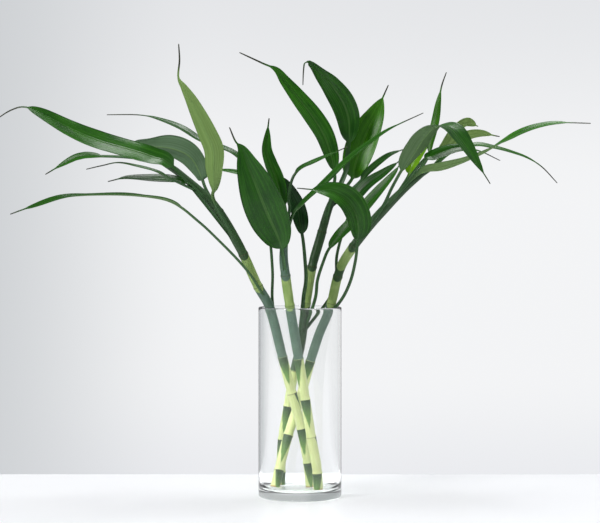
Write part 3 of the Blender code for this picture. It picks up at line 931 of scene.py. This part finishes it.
grow(
    "right_small_leaf", "stem_right", foot=326, width=7, stalk=0.1, tail=0.15, power=0.6,
    up=[(0, -0.4, 1)],
    places=[(146, 46, 352), (165, 50, 366), (192, 52, 369), (219, 55, 358)],
    light_and_shade_tone=0.4,
)
grow(
    "right_upright_leaf", "stem_right", foot=328, width=12, stalk=0.1, tail=0.15, power=0.7,
    up=[(-0.7, -0.7, 0.1)],
    places=[(136, 25, 357), (142, 28, 378), (147, 30, 400), (150, 31, 420), (153, 32, 437),
            (158, 32, 452)],
    light_and_shade_tone=0.7, glow=0.1, fold=0.4,
)
grow(
    "right_crown_leaf", "stem_right", foot=262, width=34, stalk=0.24, tail=0.05, power=0.85,
    up=[(-0.3, 0.9, 0.2), (-0.5, 0.8, 0.2), (-0.3, 0.5, 0.8), (0.4, -0.6, 0.7), (0.6, -0.75, 0.3)],
    places=[(86, 4, 303), (98, 1, 327), (109, -3, 347), (121, -7, 364), (132, -12, 380), (144, -19, 390),
            (158, -27, 387), (171, -34, 370), (183, -41, 351), (196, -48, 329)],
    light_and_shade_tone=0.3, fold=0.2,
)
grow(
    "right_curled_leaf", "stem_right", foot=330, width=17, stalk=0.1, tail=0.02, power=0.5,
    up=[(-0.5, 0.7, 0.5)],
    places=[(150, 60, 354), (160, 62, 373), (170, 63, 389), (183, 64, 400), (196, 66, 396)],
    light_and_shade_tone=0.9, glow=0.1,
)
grow(
    "right_pale_leaf", "stem_right", foot=333, width=14, stalk=0.1, tail=0.06, power=0.55,
    up=[(0, 0.8, 0.6)],
    places=[(150, 76, 356), (162, 78, 372), (180, 80, 384), (200, 82, 389), (222, 85, 386)],
    light_and_shade_tone=0.9, glow=0.1,
)
grow(
    "right_young_leaf", "stem_right", foot=315, width=14, stalk=0.1, tail=0.06, power=0.7,
    up=[(-0.4, -0.9, 0.3)],
    places=[(116, 28, 338), (121, 30, 352), (130, 32, 365), (141, 35, 376)],
    light_and_shade_tone=0.9, glow=0.8, fold=0.4,
)
grow(
    "right_low_leaf", "stem_right", foot=318, width=15, stalk=0.08, tail=0.06, power=0.6,
    up=[(0, -0.8, 0.6)],
    places=[(130, 11, 354), (141, 12, 360), (153, 13, 365), (166, 14, 369), (186, 15, 371)],
    light_and_shade_tone=0.35,
)

# %% [markdown]
# The vase is one turned shape: out over the floor, up the inside, over the rounded rim, down the
# outside and in under the base. Clear glass needs both of its walls, because light bends at each, and
# the thick base is what gathers the grey lines.

# %% The outline of the glass
RADIUS = 44.0
HEIGHT = 200.0
WALL = 2.5
FLOOR = 7.5
FILLET = 8.0
FOOT = 1.6
TURN_STEPS = 160


def arc(x, z, radius, first, last, count=9):
    """Points on a circle round (x, z), between two angles in degrees."""
    angle = np.radians(np.linspace(first, last, count))
    return np.stack([x + radius * np.cos(angle), z + radius * np.sin(angle)], axis=1)


def upright(x, low, high, count=12):
    return np.stack([np.full(count, x), np.linspace(low, high, count)], axis=1)


def vase_outline():
    """From the middle of the floor out and up the inside, over the rim, down the outside and in."""
    inner = RADIUS - WALL
    floor = [(0, FLOOR), (12, FLOOR), (24, FLOOR)]
    fillet = arc(inner - FILLET, FLOOR + FILLET, FILLET, -90, 0)
    rim = arc(inner + WALL / 2, HEIGHT - WALL / 2, WALL / 2, 180, 0, 13)
    foot = arc(RADIUS - FOOT, FOOT, FOOT, 0, -90)
    under = [(30, 0), (15, 0), (0, 0)]
    inside = upright(inner, FLOOR + FILLET + 8, HEIGHT - 4)
    outside = upright(RADIUS, HEIGHT - 6, FOOT + 4)
    return np.vstack([floor, fillet, inside, rim, outside, foot, under])


# %% Turning an outline
def turned(name, outline):
    """Point = (r cos a, r sin a, z) for every outline point off the axis, closed by its two ends."""
    ring = outline[1:-1]
    angle = np.linspace(0, 2 * np.pi, TURN_STEPS, endpoint=False)
    across = ring[:, :1] * np.cos(angle)
    deep = ring[:, :1] * np.sin(angle)
    high = np.repeat(ring[:, 1:], TURN_STEPS, axis=1)
    grid = np.stack([across, deep, high], axis=-1).reshape(-1, 3)
    poles = np.array([(0, 0, outline[0, 1]), (0, 0, outline[-1, 1])])
    count = len(grid)
    faces = [
        grid_faces(len(ring), TURN_STEPS, closed=True),
        fan_faces(count, np.arange(TURN_STEPS)[::-1]),
        fan_faces(count + 1, np.arange(count - TURN_STEPS, count)),
    ]
    return put_mesh(name, np.vstack([grid, poles]), faces)


# %% [markdown]
# Glass lets lamps shine through it, but a path tracer finds those caustics slowly. So shadow rays
# pass straight through a Transparent shader with a faint tint, and every other ray meets the real
# glass with its full bending. Glass is never quite clean: a little noise in the roughness and a
# faint waviness in the wall keep it from looking computed.


# %% The glass
CLEAR = (0.99, 0.995, 0.992, 1)
BASE_GREY = (0.62, 0.65, 0.63, 1)
BASE_TOP = 0.009  # the thick glass of the base is greyer below this height, in metres
BASE_BLUR = 0.003


def clear_glass():
    made, tree = new_material("vase_glass")
    place = node(tree, "ShaderNodeTexCoord").outputs["Object"]
    height = node(tree, "ShaderNodeSeparateXYZ", {"Vector": place}).outputs["Z"]
    tint = mixed(tree, ramp(tree, height, BASE_TOP, BASE_TOP - BASE_BLUR), CLEAR, BASE_GREY)
    noise = node(tree, "ShaderNodeTexNoise", {"Vector": place, "Scale": 22.0, "Detail": 2.0})
    bump = node(tree, "ShaderNodeBump", {"Height": noise.outputs["Fac"], "Distance": 0.001})
    bump.inputs["Strength"].default_value = 0.02
    rough = calc(tree, "MULTIPLY", noise.outputs["Fac"], 0.02)
    shader = node(
        tree,
        "ShaderNodeBsdfPrincipled",
        {"Base Color": tint, "Roughness": rough, "Normal": bump.outputs[0]},
    )
    shader.inputs["IOR"].default_value = 1.45
    shader.inputs["Transmission Weight"].default_value = 1.0
    through = node(tree, "ShaderNodeBsdfTransparent", {"Color": (0.94, 0.95, 0.945, 1)})
    path = node(tree, "ShaderNodeLightPath")
    both = node(tree, "ShaderNodeMixShader", {0: path.outputs["Is Shadow Ray"]})
    tree.links.new(shader.outputs[0], both.inputs[1])
    tree.links.new(through.outputs[0], both.inputs[2])
    finish_material(tree, both)
    return made


vase = turned("vase_wall", vase_outline())
stand_in(vase, "vase", clear_glass())
print("vase", len(vase.data.polygons), "faces")
